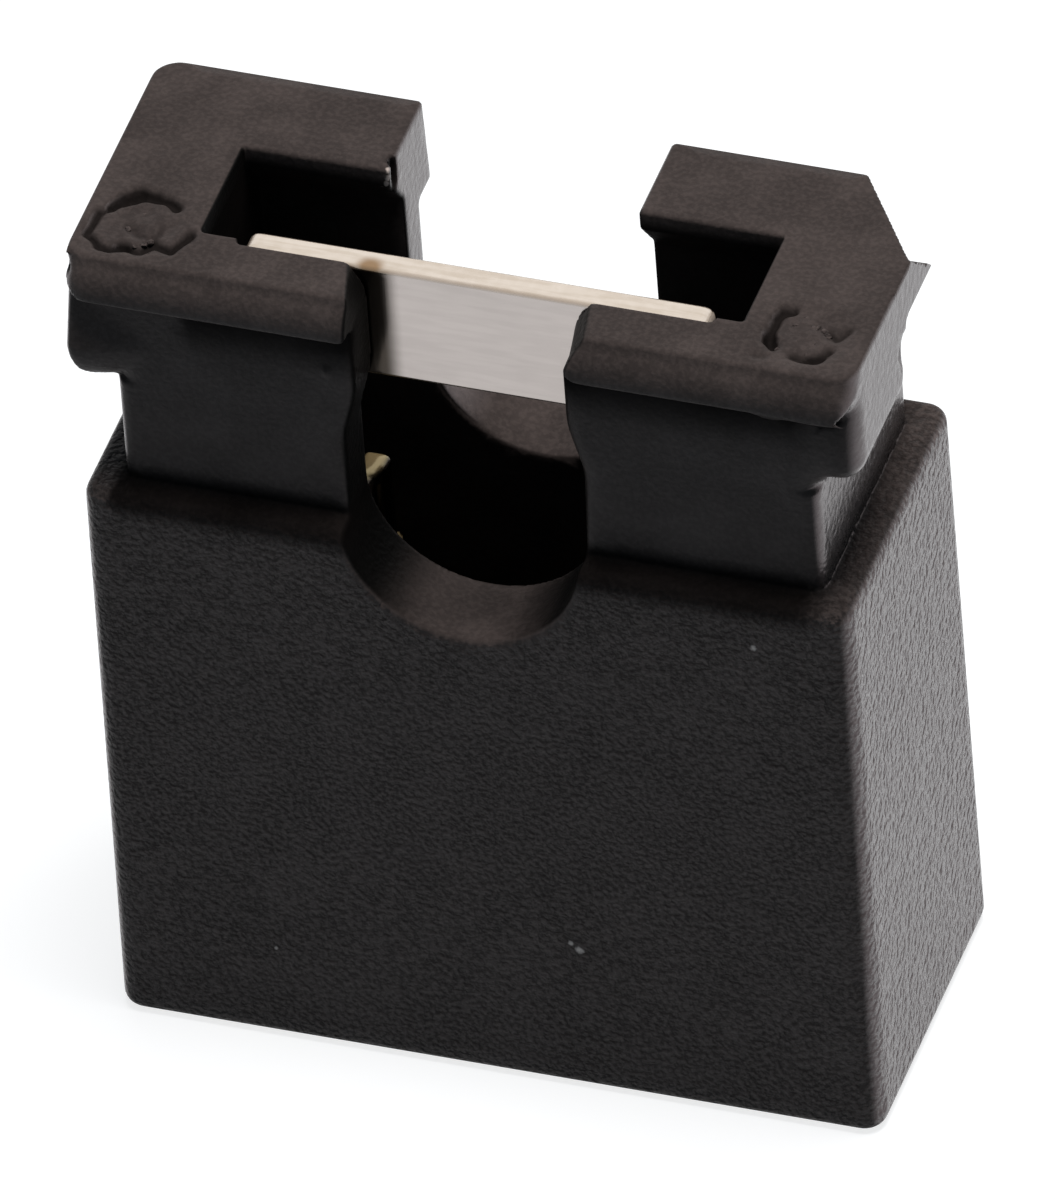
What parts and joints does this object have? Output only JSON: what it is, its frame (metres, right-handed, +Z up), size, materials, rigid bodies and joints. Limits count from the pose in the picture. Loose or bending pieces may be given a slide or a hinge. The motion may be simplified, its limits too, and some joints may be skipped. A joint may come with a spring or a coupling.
{
  "type": "jumper shunt",
  "caption": "Open-top jumper shunt: black moulded housing with keyhole notches round a folded spring contact that bridges neighbouring square header pins.",
  "frame": {"origin": "centre of the foot, midway between the pins, on the plane that the part stands on", "axes": "+X along the pin row, the bridge strip faces -Y, +Z up from the foot to the open top"},
  "size_m": [0.005, 0.0022, 0.0059],
  "materials": {
    "black_plastic": "moulded thermoplastic, fine spark-eroded texture outside, smoother on the rim",
    "plated_bronze": "bright tin-plated phosphor bronze strip, bare bronze on the cut edges"
  },
  "bodies": {
    "root": {"housing": "black_plastic", "contact": "plated_bronze"}
  },
  "joints": []
}
